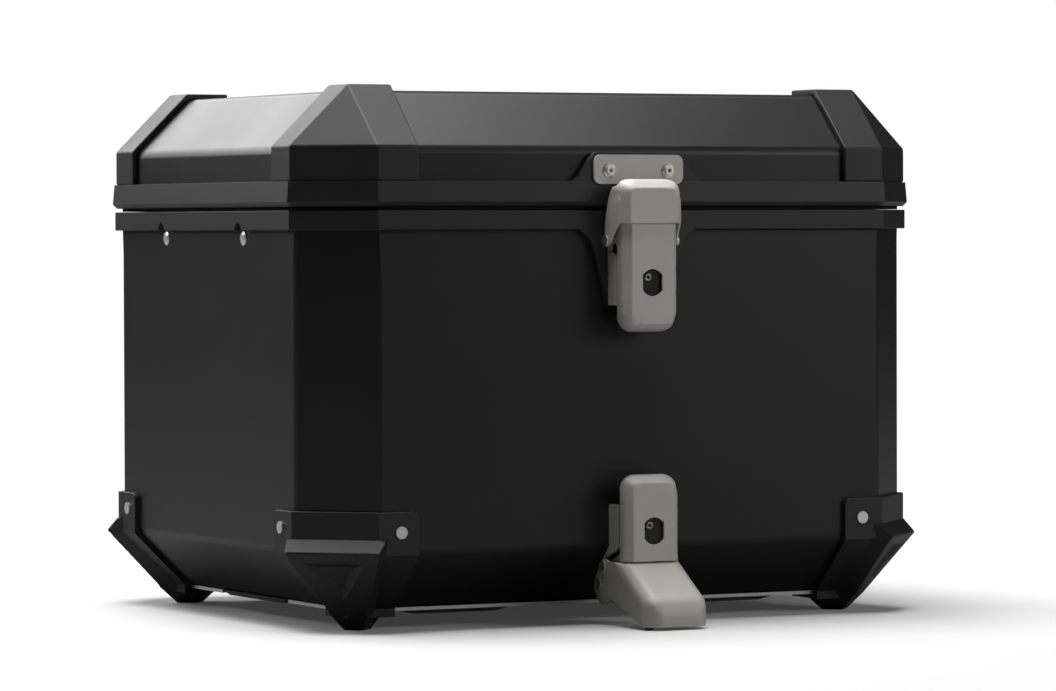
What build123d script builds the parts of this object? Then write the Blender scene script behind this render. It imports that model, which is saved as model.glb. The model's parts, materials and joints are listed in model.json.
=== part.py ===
"""Top case for a motorcycle: a folded aluminium box on four moulded corner protectors, with a lid
that is held front and rear by stainless draw latches, and a rack lock below the front latch.

The case stands on the floor at z = 0. X runs along its long side, the front is -Y and +Z is up.
Every piece is made about the middle of the box, and at the end all pieces are moved together so
that the origin is the centre of the bottom of the whole object's bounding box.
"""

from build123d import *
from math import cos, hypot, radians, sin
import os

# ---- Box: sheet aluminium, octagonal in plan, all sizes in millimetres
BODY_WIDTH = 410.0
BODY_DEPTH = 332.0
CORNER_CUT = 36.5
SHEET = 1.5
BASE_HEIGHT = 12.5
BEND_HEIGHT = 47.0
BASE_INSET = 35.0
BODY_TOP = 243.5

# ---- Collar: moulded rim that caps the box
COLLAR_DOWN = 9.0
COLLAR_UP = 2.5
COLLAR_PROUD = 4.2
COLLAR_LEG = 2.5
TONGUE_TOP_HALF = 32.0
TONGUE_END_HALF = 20.5
TONGUE_DOWN = 54.5
TONGUE_FILLET = 9.0
BASE_SEAT = 1.8
SEAT_CLEAR = 0.15

# ---- Lid and its moulded band
LID_GAP = 2.2
BAND_HEIGHT = 14.8
BAND_CHAMFER = 2.6
BAND_TOP_PROUD = 4.5
BAND_EDGE_PROUD = 5.5
BAND_LIP_PROUD = 3.0
BAND_FLOOR = 2.3
BAND_INNER_LEG = 3.0
BAND_INNER_RISE = 9.8
LID_BEND_UP = 38.5
LID_TOP_UP = 72.8
LID_INSET = 35.3
RAISED_TAB_HALF = 43.0
RAISED_TAB_TOP_HALF = 30.5
RAISED_TAB_UP = 36.5
SEAL_WIDTH = 3.0
SEAL_GROOVE = 1.5
SEAL_CLEAR = 0.3

# ---- Moulded corners
ARM_LENGTH = 25.0
LID_CAP_THICK = 3.5
PROTECTOR_THICK = 3.0
PROTECTOR_TOP = 71.0
PROTECTOR_UNDER = 5.0
WEDGE_SHELF = 54.8
WEDGE_EDGE = 46.8
WEDGE_PROUD = 7.4
WEDGE_TOP_PAST = 5.7
WEDGE_EDGE_PAST = 3.7
FOOT_HALF = 7.0
FOOT_FRONT = -4.2
FOOT_BACK = -16.7
WEDGE_TOE = 7.8
WEDGE_ROUND = 2.0
RECESS_DEPTH = 3.0
RECESS_BORDER = 10.0
RECESS_WALL = 4.0
WING_CORNER_R = 4.0

# ---- Rivets
RIVET_HEAD_R = 3.65
RIVET_SHANK_R = 1.6
RIVET_CLEAR = 0.05
RIVET_HEAD = 0.9
PROTECTOR_RIVET_HEIGHT = 59.0
PROTECTOR_SIDE_RIVET_HEIGHT = 61.0
PROTECTOR_RIVET_OFFSET = 13.0
ANCHOR_RIVET_R = 4.2
ANCHOR_RIVET_HEAD = 1.4
ANCHOR_RIVET_Y = 58.0
ANCHOR_RIVET_DOWN = 13.7
ANCHOR_NOTCH_R = 4.6
ANCHOR_PLATE = (18.0, 150.0)

# ---- Draw latches: heights count from the hook's pin, depths count outwards from the wall
LEVER_HALF = 18.5
LEVER_FRONT = 23.0
LEVER_BACK = 12.6
LEVER_SHEET = 1.6
LEVER_BEVEL = 4.6
LEVER_END_R = 8.0
LEVER_BEND_R = 1.6
HOOK_SIDE_GAP = 1.1
HOOK_EAR_PAST = 2.2
HOOK_SHEET = 1.4
HOOK_GAP = 0.4
HOOK_BEVEL = 5.2
LATCH_FLANGE_PAST = 1.1
RACK_FLANGE_IN = 1.0
FLANGE_SHEET = 1.5
FLANGE_REACH = 12.2
WEB_SHEET = 1.2
LUG_IN = 3.1
LUG_SHEET = 1.8
LUG_R = 3.2
PIN_R = 1.8
PIN_CLEAR = 0.05
PIN_HEAD_R = 3.4
PIN_HEAD = 1.0
KEY_HALF = 6.5
KEY_R = 8.0
BARREL_R = 10.4
CORE_R = 8.6
CORE_CLEAR = 0.08
CORE_RECESS = 2.2
NUB_R = 2.2
CAM_REACH = 13.0
CAM_HALF = 3.5
CAM_SHEET = 1.5

# Lid latch, front and rear
LATCH_PIN_DOWN = 15.8
LATCH_PIN_OUT = 8.0
LATCH_PIVOT_UP = 13.0
LATCH_PIVOT_OUT = 7.6
LATCH_LEVER_LOW = -53.8
LATCH_LEVER_HIGH = 13.4
LATCH_KEY = -24.7
LATCH_BASE_LOW = -38.0
LATCH_BASE_HIGH = 17.2
LATCH_NOTCH = 7.0
HOOK_EDGE = 10.3
HOOK_FLARE_TOP = 27.0
HOOK_FLARE_LOW = 12.0
HOOK_TOP = 36.3
HOOK_CORNER_R = 8.0
HOOK_ROOF_START = 14.2
HOOK_BACK = 7.2
CLAW_HALF = 13.0
CLAW_SLOT_HALF = 8.0

# Strike plate on the lid
STRIKE_HALF = 29.9
STRIKE_LOW_UP = 17.7
STRIKE_HIGH_UP = 35.1
STRIKE_SHEET = 1.5
STRIKE_CORNER_R = 4.5
STRIKE_RIVET_X = 19.7
STRIKE_RIVET_UP = 25.7
STRIKE_RIVET_R = 4.4
BEAD_OUT = 13.0
BEAD_UP = 15.0
BEAD_R = 1.8
ARM_HALF = 7.0

# Rack lock below the front latch: its pin is lower than its lever, and its hook hangs outwards
RACK_PIN_HEIGHT = 35.0
RACK_PIN_OUT = -0.7
RACK_PIVOT_DOWN = 1.0
RACK_PIVOT_IN = 7.3
RACK_LEVER_LOW = 38.5
RACK_LEVER_HIGH = 89.6
RACK_LEVER_OUT = 1.2
RACK_LEVER_TRIM = 1.5
RACK_KEY = 56.5
RACK_BASE_HIGH = 71.5
RACK_BASE_LOW = 48.0
RACK_HOOK_ANGLE = 57.0
RACK_HOOK_FRONT = 15.6
RACK_HOOK_END = 56.5
RACK_HOOK_END_R = 11.0
RACK_HOOK_END_RUN = 3.0
RACK_HOOK_END_DROP = 6.5
RACK_HOOK_BEVEL = 4.8
RACK_HOOK_GAP = 0.6
RACK_HOOK_LIFT = 1.8
RACK_EYE_DOWN = 1.4
RACK_EYE_IN = 12.0
BUFFER_R = 2.4
BUFFER_PLACE = (-14.0, 43.0)

# ---- Bare doubling plate and skid pads under the base
BASE_PLATE = 2.0
PLATE_CLEAR = 0.3
PAD_DEPTH = 22.0
PAD_DROP = 4.4
PAD_RUN = 10.5
PAD_GAPS = (6.5, 26.5)
PAD_LENGTHS = (73.0, 69.0)
SIDE_PAD = (-42.0, 55.0)
SIDE_PAD_WIDTH = 12.0
SIDE_PAD_DROP = 2.6

# ---- Derived places
HALF_W = BODY_WIDTH / 2
HALF_D = BODY_DEPTH / 2
FACET_HALF = CORNER_CUT / 2**0.5
WEDGE_TOP_HALF = FACET_HALF + WEDGE_TOP_PAST
WEDGE_EDGE_HALF = FACET_HALF + WEDGE_EDGE_PAST
COLLAR_BOTTOM = BODY_TOP - COLLAR_DOWN
COLLAR_TOP = BODY_TOP + COLLAR_UP
TONGUE_END = BODY_TOP - TONGUE_DOWN
ANCHOR_RIVET_HEIGHT = BODY_TOP - ANCHOR_RIVET_DOWN
LATCH_PIN_HEIGHT = BODY_TOP - LATCH_PIN_DOWN
LIP_HEIGHT = COLLAR_TOP + LID_GAP
LID_BEND = BODY_TOP + LID_BEND_UP
LID_TOP = BODY_TOP + LID_TOP_UP
RAISED_TAB_TOP = BODY_TOP + RAISED_TAB_UP
STRIKE_LOW = BODY_TOP + STRIKE_LOW_UP
STRIKE_HIGH = BODY_TOP + STRIKE_HIGH_UP
STRIKE_RIVET_Z = BODY_TOP + STRIKE_RIVET_UP
BEAD_HEIGHT = BODY_TOP + BEAD_UP
HOOK_HALF = LEVER_HALF + HOOK_SIDE_GAP + HOOK_SHEET
HOOK_EAR_HALF = HOOK_HALF + HOOK_EAR_PAST
LATCH_FLANGE_OUT = LEVER_HALF + LATCH_FLANGE_PAST
RACK_FLANGE_OUT = LEVER_HALF - RACK_FLANGE_IN
LUG_OUT = LEVER_HALF - LUG_IN
BAND_TOP = LIP_HEIGHT + BAND_HEIGHT
BAND_EDGE = LIP_HEIGHT + BAND_CHAMFER
LID_SHEET_BOTTOM = LIP_HEIGHT + BAND_FLOOR
TAB_PROUD = BAND_TOP_PROUD
HOLE_R = RIVET_SHANK_R + RIVET_CLEAR
SEAT_OUT = COLLAR_PROUD - BASE_SEAT
HOOK_FRONT = LEVER_FRONT + HOOK_GAP + HOOK_SHEET
CAP_END_X = HALF_W - CORNER_CUT - ARM_LENGTH
CAP_END_Y = HALF_D - CORNER_CUT - ARM_LENGTH
CORNERS = {
    "front_left": (-1, -1),
    "front_right": (1, -1),
    "rear_left": (-1, 1),
    "rear_right": (1, 1),
}


# ---------------------------------------------------------------- plan outlines and hipped boxes
def octagon(grow, z):
    """The box's plan outline, moved outwards by grow, as eight corners at height z."""
    half_w = HALF_W + grow
    half_d = HALF_D + grow
    cut = CORNER_CUT + grow * (2 - 2**0.5)
    return [
        (-half_w + cut, -half_d, z),
        (half_w - cut, -half_d, z),
        (half_w, -half_d + cut, z),
        (half_w, half_d - cut, z),
        (half_w - cut, half_d, z),
        (-half_w + cut, half_d, z),
        (-half_w, half_d - cut, z),
        (-half_w, -half_d + cut, z),
    ]


def rectangle_corners(inset, z):
    """Corners of the flat end, in the order of the octagon's corner facets."""
    half_w = HALF_W - inset
    half_d = HALF_D - inset
    return [(half_w, -half_d, z), (half_w, half_d, z), (-half_w, half_d, z), (-half_w, -half_d, z)]


def solid_of(polygons):
    """A closed solid from its flat faces."""
    faces = [Face(Wire.make_polygon([Vector(*p) for p in points])) for points in polygons]
    solid = Solid(Shell(faces))
    if solid.volume < 0:
        solid = Solid(solid.wrapped.Reversed())
    return solid


def ring_walls(lower, upper):
    """The eight flat walls between two octagons."""
    return [
        [lower[i], lower[(i + 1) % 8], upper[(i + 1) % 8], upper[i]]
        for i in range(8)
    ]


def hipped(grow, inset, z_open, z_bend, z_flat):
    """Octagonal walls from z_open to z_bend, then slopes that close on a rectangle at z_flat,
    with a triangular facet at each corner that ends at the rectangle's corner."""
    start = octagon(grow, z_open)
    bend = octagon(grow, z_bend)
    flat = rectangle_corners(inset, z_flat)
    faces = [start, flat] + ring_walls(start, bend)
    for i in range(4):
        side_a, side_b = bend[2 * i], bend[2 * i + 1]
        corner_next = bend[(2 * i + 2) % 8]
        faces.append([side_a, side_b, flat[i], flat[i - 1]])
        faces.append([side_b, corner_next, flat[i]])
    return solid_of(faces)


def slope_shift(grow, inset, rise):
    """How far a slope moved outwards by grow shifts its bend and its flat end."""
    length = hypot(inset, rise)
    bend = grow * (length - rise) / inset
    flat_inset = inset - grow * (length - inset) / rise
    return bend, flat_inset


def tub(grow):
    """The box's outside, grown by grow all round, with its slopes below the lower bend."""
    bend, inset = slope_shift(grow, BASE_INSET, BEND_HEIGHT - BASE_HEIGHT)
    return hipped(grow, inset, BODY_TOP, BEND_HEIGHT - bend, BASE_HEIGHT - grow)


def lid_form(grow, bottom):
    """The lid's outside, grown by grow all round, open end at bottom."""
    bend, inset = slope_shift(grow, LID_INSET, LID_TOP - LID_BEND)
    return hipped(grow, inset, bottom, LID_BEND + bend, LID_TOP + grow)


def octagon_prism(grow, z0, z1):
    """A straight octagonal block."""
    outline = Wire.make_polygon([Vector(*p) for p in octagon(grow, z0)])
    return Solid.extrude(Face(outline), Vector(0, 0, z1 - z0))


def octagon_taper(grow0, z0, grow1, z1):
    """An octagonal block whose walls lean from one offset to another."""
    lower = octagon(grow0, z0)
    upper = octagon(grow1, z1)
    return solid_of([lower, upper] + ring_walls(lower, upper))


def block(x0, x1, y0, y1, z0, z1):
    """A box between two corners."""
    return Pos((x0 + x1) / 2, (y0 + y1) / 2, (z0 + z1) / 2) * Box(x1 - x0, y1 - y0, z1 - z0)


def rod(axis, r, centre, start, end):
    """A round bar along X or Y from start to end; centre holds its two other coordinates."""
    length = end - start
    if axis == "x":
        return Pos((start + end) / 2, *centre) * Rot(0, 90, 0) * Cylinder(r, length)
    return Pos(centre[0], (start + end) / 2, centre[1]) * Rot(90, 0, 0) * Cylinder(r, length)


def facing_plate(points, out0, out1, radii=None):
    """A plate on the front wall: an (x, z) outline pushed outwards from out0 to out1."""
    path = [Vector(x, -HALF_D - out0, z) for x, z in points]
    face = Face(Wire.make_polygon(path))
    if radii:
        corners = face.vertices()
        for index, r in radii.items():
            near = min(corners, key=lambda v: (Vector(*tuple(v)) - path[index]).length)
            face = face.fillet_2d(r, [near])
            corners = face.vertices()
    return Solid.extrude(face, Vector(0, out0 - out1, 0))


def side_plate(points, x0, x1):
    """A plate seen from the side: an (out, z) outline pushed along X from x0 to x1."""
    face = Face(Wire.make_polygon([Vector(x0, -HALF_D - out, z) for out, z in points]))
    return Solid.extrude(face, Vector(x1 - x0, 0, 0))


def both_sides(shape):
    """A piece and its mirror image across the middle of the front, as one shape."""
    return shape + mirror(shape, about=Plane.YZ)


def to_rear(shape):
    """The rear latch is the front latch turned half round."""
    return Rot(0, 0, 180) * shape


def compound(shapes):
    """Separate solids kept as one node."""
    solids = []
    for shape in shapes:
        solids += shape.solids()
    return Compound(children=solids)


# ---------------------------------------------------------------- box and collar
def wall_holes():
    """Rivet holes through the sheet of the box."""
    return protector_rivet_holes() + anchor_rivet_holes() + base_rivet_holes()


def body_shell():
    """Folded and welded sheet box, open at the top."""
    inner = tub(-SHEET)
    mouth = octagon_prism(-SHEET, BODY_TOP - SHEET, BODY_TOP + SHEET)
    shell = tub(0) - inner - mouth
    for hole in wall_holes():
        shell -= hole
    return shell


def tongue_outline():
    """The collar's tongue below a latch, wide at the collar and narrow at its end."""
    flare = TONGUE_TOP_HALF + TONGUE_FILLET
    lean = (TONGUE_TOP_HALF - TONGUE_END_HALF) / (COLLAR_BOTTOM - TONGUE_END)
    shoulder = COLLAR_BOTTOM - TONGUE_FILLET * 0.55
    shoulder_half = TONGUE_TOP_HALF - lean * (COLLAR_BOTTOM - shoulder)
    knee = COLLAR_BOTTOM - TONGUE_FILLET * 1.4
    knee_half = TONGUE_TOP_HALF - lean * (COLLAR_BOTTOM - knee)
    right = [
        (TONGUE_END_HALF, TONGUE_END),
        (knee_half, knee),
        (shoulder_half + 1.6, shoulder),
        (flare - 2.0, COLLAR_BOTTOM),
        (flare - 2.0, COLLAR_BOTTOM + 1.0),
    ]
    left = [(-x, z) for x, z in reversed(right)]
    return right + left


def body_collar():
    """Moulded rim that grips the top edge of the box, with a tongue below each lid latch."""
    ring = octagon_prism(COLLAR_PROUD, COLLAR_BOTTOM, COLLAR_TOP)
    ring -= octagon_prism(-SHEET - COLLAR_LEG, COLLAR_BOTTOM - 1, COLLAR_TOP + 1)
    channel = octagon_prism(0, COLLAR_BOTTOM - 1, BODY_TOP)
    channel -= octagon_prism(-SHEET, COLLAR_BOTTOM - 1, BODY_TOP)
    ring -= channel
    tongue = facing_plate(tongue_outline(), 0, COLLAR_PROUD)
    ring = ring + tongue + to_rear(tongue)
    half = LATCH_FLANGE_OUT + SEAT_CLEAR
    low = latch_z(LATCH_BASE_LOW) - SEAT_CLEAR
    high = latch_z(LATCH_BASE_HIGH) + SEAT_CLEAR
    seat = block(-half, half, -HALF_D - 2 * COLLAR_PROUD, -HALF_D - SEAT_OUT, low, high)
    ring = ring - seat - to_rear(seat)
    for hole in base_rivet_holes():
        ring -= hole
    for y in (-ANCHOR_RIVET_Y, ANCHOR_RIVET_Y):
        for side in (-1, 1):
            notch = rod("x", ANCHOR_NOTCH_R, (y, COLLAR_BOTTOM), 0, HALF_W + 2 * COLLAR_PROUD)
            notch = notch & block(HALF_W, HALF_W + 2 * COLLAR_PROUD, y - 9, y + 9, 0, COLLAR_TOP)
            ring -= notch if side > 0 else mirror(notch, about=Plane.YZ)
    return ring


def anchor_rivet_holes():
    """Cutters for the rivets below the collar."""
    holes = []
    for y in (-ANCHOR_RIVET_Y, ANCHOR_RIVET_Y):
        holes.append(rod("x", HOLE_R, (y, ANCHOR_RIVET_HEIGHT), HALF_W - 3 * SHEET, HALF_W + SHEET))
        holes.append(rod("x", HOLE_R, (y, ANCHOR_RIVET_HEIGHT), -HALF_W - SHEET, -HALF_W + 3 * SHEET))
    return holes


def anchor_rivets():
    """Domed blind rivets below the collar, two on each side."""
    rivets = []
    for y in (-ANCHOR_RIVET_Y, ANCHOR_RIVET_Y):
        head = rod("x", ANCHOR_RIVET_R, (y, ANCHOR_RIVET_HEIGHT), HALF_W, HALF_W + ANCHOR_RIVET_HEAD)
        rim = head.edges().sort_by(Axis.X)[-1]
        head = chamfer(rim, ANCHOR_RIVET_HEAD * 0.55, ANCHOR_RIVET_HEAD * 1.1)
        shank = rod("x", RIVET_SHANK_R, (y, ANCHOR_RIVET_HEIGHT), HALF_W - 2 * SHEET, HALF_W)
        rivet = head + shank
        rivets += [rivet, mirror(rivet, about=Plane.YZ)]
    return compound(rivets)


def strap_anchor(side):
    """Plate inside the wall, held by the two rivets, with an eye for the lid's strap."""
    height, length = ANCHOR_PLATE
    inner = HALF_W - SHEET
    plate = block(inner - SHEET, inner, -length / 2, length / 2,
                  ANCHOR_RIVET_HEIGHT - 2 * height / 3, ANCHOR_RIVET_HEIGHT + height / 4)
    eye = block(inner - 9, inner - SHEET, -SHEET / 2, SHEET / 2,
                ANCHOR_RIVET_HEIGHT - 2 * height / 3, ANCHOR_RIVET_HEIGHT + height / 4)
    eye -= rod("y", 2.2, (inner - 5.5, ANCHOR_RIVET_HEIGHT - 4), -5, 5)
    plate += eye
    for hole in anchor_rivet_holes():
        plate -= hole
    return plate if side > 0 else mirror(plate, about=Plane.YZ)


# ---------------------------------------------------------------- lid
def lid_shell():
    """Folded and welded sheet lid."""
    shell = lid_form(0, LID_SHEET_BOTTOM) - lid_form(-SHEET, LID_SHEET_BOTTOM)
    shell -= octagon_prism(-SHEET, LID_SHEET_BOTTOM - SHEET, LID_SHEET_BOTTOM + SHEET)
    for hole in strike_rivet_holes():
        shell -= hole
    return shell


def raised_tab():
    """The band's raised field behind a strike plate."""
    points = [
        (RAISED_TAB_HALF, BAND_TOP - 1),
        (RAISED_TAB_HALF, BAND_TOP + 0.3),
        (RAISED_TAB_HALF - 4.0, BAND_TOP + 2.6),
        (RAISED_TAB_TOP_HALF + 1.6, RAISED_TAB_TOP - 4.2),
        (RAISED_TAB_TOP_HALF - 2.0, RAISED_TAB_TOP),
    ]
    outline = points + [(-x, z) for x, z in reversed(points)]
    plate = facing_plate(outline, 0, TAB_PROUD)
    pad_half = RAISED_TAB_HALF - 4
    plate += block(-pad_half, pad_half, -HALF_D - TAB_PROUD, -HALF_D, BAND_EDGE, BAND_TOP)
    return plate


def lid_band():
    """Moulded frame round the lid's lower edge, with the groove that holds the seal."""
    ring = octagon_taper(BAND_EDGE_PROUD, BAND_EDGE, BAND_TOP_PROUD, BAND_TOP)
    ring += octagon_taper(BAND_LIP_PROUD, LIP_HEIGHT, BAND_EDGE_PROUD, BAND_EDGE)
    inner = SHEET + BAND_INNER_LEG
    ring -= octagon_prism(-inner, LIP_HEIGHT - 1, BAND_TOP + 1)
    ring -= octagon_prism(0, LIP_HEIGHT + BAND_INNER_RISE, BAND_TOP + 1)
    channel = octagon_prism(0, LID_SHEET_BOTTOM, BAND_TOP)
    channel -= octagon_prism(-SHEET, LID_SHEET_BOTTOM, BAND_TOP)
    ring -= channel
    groove = octagon_prism(-0.2, LIP_HEIGHT - 1, LIP_HEIGHT + SEAL_GROOVE)
    groove -= octagon_prism(-0.2 - SEAL_WIDTH, LIP_HEIGHT - 1, LIP_HEIGHT + SEAL_GROOVE)
    ring -= groove
    tab = raised_tab()
    ring = ring + tab + to_rear(tab)
    for half, low in ((STRIKE_HALF, STRIKE_LOW), (ARM_HALF, BEAD_HEIGHT - STRIKE_SHEET / 2)):
        half += SEAT_CLEAR
        seat = block(-half, half, -HALF_D - 2 * BEAD_OUT, -HALF_D - TAB_PROUD, low - SEAT_CLEAR, STRIKE_HIGH)
        ring = ring - seat - to_rear(seat)
    for hole in strike_rivet_holes():
        ring -= hole
    return ring


def lid_seal():
    """Rubber seal in the band's groove, just above the collar."""
    ring = octagon_prism(-0.2, COLLAR_TOP + SEAL_CLEAR, LIP_HEIGHT + SEAL_GROOVE)
    ring -= octagon_prism(-0.2 - SEAL_WIDTH, COLLAR_TOP, LIP_HEIGHT + SEAL_GROOVE + 1)
    return ring


def lid_cap():
    """Moulded cap over the lid's front left corner, seated on the band."""
    cap = lid_form(LID_CAP_THICK, BAND_TOP) - lid_form(0, BAND_TOP)
    keep = block(-2 * HALF_W, -CAP_END_X, -2 * HALF_D, -CAP_END_Y, BAND_TOP, 2 * LID_TOP)
    return cap & keep


def strike_rivet_holes():
    """Cutters for the rivets of both strike plates."""
    holes = []
    for x in (-STRIKE_RIVET_X, STRIKE_RIVET_X):
        hole = rod("y", HOLE_R, (x, STRIKE_RIVET_Z), -HALF_D - BEAD_OUT, -HALF_D + 3 * SHEET)
        holes += [hole, to_rear(hole)]
    return holes


def strike_plate():
    """Stainless plate on the lid; its lower edge runs out in an arm that ends in a round bead."""
    face_out = TAB_PROUD + STRIKE_SHEET
    half = STRIKE_HALF
    corners = [(-half, STRIKE_LOW), (half, STRIKE_LOW), (half, STRIKE_HIGH), (-half, STRIKE_HIGH)]
    radii = {i: STRIKE_CORNER_R for i in range(4)}
    plate = facing_plate(corners, TAB_PROUD, face_out, radii)
    low = BEAD_HEIGHT - STRIKE_SHEET / 2
    plate += block(-ARM_HALF, ARM_HALF, -HALF_D - face_out, -HALF_D - TAB_PROUD, low, STRIKE_LOW + 1)
    plate += block(-ARM_HALF, ARM_HALF, -HALF_D - BEAD_OUT, -HALF_D - TAB_PROUD, low, low + STRIKE_SHEET)
    plate += rod("x", BEAD_R, (-HALF_D - BEAD_OUT, BEAD_HEIGHT), -CLAW_HALF, CLAW_HALF)
    for hole in strike_rivet_holes():
        plate -= hole
    return plate


def strike_rivets():
    """Blind rivets with a raised rim and a hollow middle, two in the strike plate."""
    face = -HALF_D - TAB_PROUD - STRIKE_SHEET
    rivets = []
    for x in (-STRIKE_RIVET_X, STRIKE_RIVET_X):
        centre = (x, STRIKE_RIVET_Z)
        head = rod("y", STRIKE_RIVET_R, centre, face - 1.1, face)
        head = chamfer(head.edges().sort_by(Axis.Y)[0], 0.6, 1.2)
        collar = rod("y", STRIKE_RIVET_R * 0.55, centre, face - 2.1, face - 1.0)
        shank = rod("y", RIVET_SHANK_R, centre, face, -HALF_D + 2 * SHEET)
        bore = rod("y", STRIKE_RIVET_R * 0.27, centre, face - 3, face + 1.5)
        rivets.append(head + collar + shank - bore)
    return rivets


# ---------------------------------------------------------------- corner protectors
def diagonal_frame():
    """Plane through the front left corner: X runs outwards along the diagonal, Y is up."""
    corner = Vector(-HALF_W + BASE_INSET, -HALF_D + BASE_INSET, 0)
    outward = Vector(-1, -1, 0).normalized()
    across = Vector(1, -1, 0).normalized()
    return Plane(origin=corner, x_dir=outward, z_dir=across * -1)


def facet_reach():
    """Diagonal distance from the base's corner to the corner facet of the upright wall."""
    return (BASE_INSET - CORNER_CUT / 2) * 2**0.5


def wedge():
    """Raised wedge on the corner that carries the foot."""
    plate_reach = facet_reach() + PROTECTOR_THICK
    flange = BASE_HEIGHT - PROTECTOR_UNDER
    profile = [
        (0, WEDGE_SHELF + 2),
        (plate_reach, WEDGE_SHELF),
        (plate_reach + WEDGE_PROUD, WEDGE_EDGE),
        (WEDGE_TOE, BASE_HEIGHT),
        (FOOT_FRONT, 0),
        (FOOT_BACK, 0),
        (FOOT_BACK - 7.5, flange),
        (FOOT_BACK - 7.5, WEDGE_SHELF + 2),
    ]
    plane = diagonal_frame()
    side_face = Face(Wire.make_polygon([plane.from_local_coords(Vector(s, z, 0)) for s, z in profile]))
    normal = plane.z_dir
    width = WEDGE_TOP_HALF
    side_block = Solid.extrude(side_face.moved(Location(normal * -width)), normal * (2 * width))
    front = [
        (-WEDGE_TOP_HALF, WEDGE_SHELF + 3),
        (-WEDGE_TOP_HALF, WEDGE_SHELF),
        (-WEDGE_EDGE_HALF, WEDGE_EDGE - 3),
        (-FOOT_HALF, 2),
        (-FOOT_HALF + 1, 0),
    ]
    front += [(-x, z) for x, z in reversed(front)]
    far = plane.origin - plane.x_dir * 60
    across = normal
    front_face = Face(Wire.make_polygon([far + across * x + Vector(0, 0, z) for x, z in front]))
    front_block = Solid.extrude(front_face, plane.x_dir * 140)
    solid = side_block & front_block
    reach = plate_reach + WEDGE_PROUD - 0.2
    soft = [e for e in solid.edges() if plane.to_local_coords(e.center()).X > reach]
    return fillet(soft, WEDGE_ROUND)


def wedge_recess():
    """Shallow three-cornered recess in the wedge's face."""
    plane = diagonal_frame()
    plate_reach = facet_reach() + PROTECTOR_THICK
    top = Vector(plate_reach + WEDGE_PROUD, WEDGE_EDGE, 0)
    toe = Vector(WEDGE_TOE, BASE_HEIGHT, 0)
    along = (toe - top).normalized()
    inward = Vector(along.Y, -along.X, 0)
    if inward.X > 0:
        inward = inward * -1
    length = (toe - top).length
    start = top + along * RECESS_BORDER * 0.75
    end = top + along * length * 0.84
    across = plane.z_dir
    half = WEDGE_EDGE_HALF - RECESS_BORDER
    height = (end - start).length
    centre_drop = half * height / (half + hypot(half, height))
    centre = start + along * centre_drop

    def ring(depth):
        share = 1 - RECESS_WALL / centre_drop * depth / RECESS_DEPTH
        low = centre + (end - centre) * share + inward * depth
        high = centre + (start - centre) * share + inward * depth
        middle = plane.from_local_coords(Vector(high.X, high.Y, 0))
        point = plane.from_local_coords(Vector(low.X, low.Y, 0))
        return [middle - across * half * share, middle + across * half * share, point]

    outer = ring(-RECESS_DEPTH)
    inner = ring(RECESS_DEPTH)
    walls = [[outer[i], outer[(i + 1) % 3], inner[(i + 1) % 3], inner[i]] for i in range(3)]
    return solid_of([outer, inner] + walls)


def wing_corners():
    """Cutters that round the upper ends of a front left protector's two wings."""
    r = WING_CORNER_R
    z = PROTECTOR_TOP - r
    x = -CAP_END_X - r
    y = -CAP_END_Y - r
    out = 2 * PROTECTOR_THICK
    front = block(x, x + 2 * r, -HALF_D - out, -HALF_D + out, z, z + 2 * r)
    front -= rod("y", r, (x, z), -HALF_D - 2 * out, -HALF_D + 2 * out)
    side = block(-HALF_W - out, -HALF_W + out, y, y + 2 * r, z, z + 2 * r)
    return front + (side - rod("x", r, (y, z), -HALF_W - 2 * out, -HALF_W + 2 * out))


def corner_protector():
    """Moulded front left corner: a plate round the box's corner, its wedge and its foot."""
    plate = tub(PROTECTOR_THICK)
    keep = block(-2 * HALF_W, -CAP_END_X, -2 * HALF_D, -CAP_END_Y, -1, PROTECTOR_TOP)
    slope = hypot(BASE_INSET, BEND_HEIGHT - BASE_HEIGHT)
    wrap = BASE_INSET - PROTECTOR_THICK * slope / (BEND_HEIGHT - BASE_HEIGHT)
    under = block(-HALF_W + wrap, -CAP_END_X, -HALF_D + wrap, -CAP_END_Y,
                  BASE_HEIGHT - PROTECTOR_UNDER, BASE_HEIGHT)
    wings = plate & keep
    wings -= wing_corners()
    corner = wings + under + (wedge() & keep)
    corner -= tub(0)
    corner -= wedge_recess()
    for hole in protector_rivet_holes():
        corner -= hole
    return corner


def protector_rivet_places():
    """Where the front left protector's two rivets stand: (axis, other coordinate)."""
    front_x = -HALF_W + CORNER_CUT + PROTECTOR_RIVET_OFFSET
    side_y = -HALF_D + CORNER_CUT + PROTECTOR_RIVET_OFFSET + 1.0
    return front_x, side_y


def at_corners(shapes):
    """Copies of front left pieces at all four corners."""
    placed = []
    for sx, sy in CORNERS.values():
        for shape in shapes:
            placed.append(to_corner(shape, sx, sy))
    return placed


def to_corner(shape, sx, sy):
    """A front left piece mirrored to another corner."""
    if sx > 0:
        shape = mirror(shape, about=Plane.YZ)
    if sy > 0:
        shape = mirror(shape, about=Plane.XZ)
    return shape


def protector_rivet_holes():
    """Cutters for the rivets of all four protectors."""
    front_x, side_y = protector_rivet_places()
    reach = 2 * PROTECTOR_THICK
    front = rod("y", HOLE_R, (front_x, PROTECTOR_RIVET_HEIGHT), -HALF_D - reach, -HALF_D + reach)
    side = rod("x", HOLE_R, (side_y, PROTECTOR_SIDE_RIVET_HEIGHT), -HALF_W - reach, -HALF_W + reach)
    return at_corners([front, side])


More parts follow.
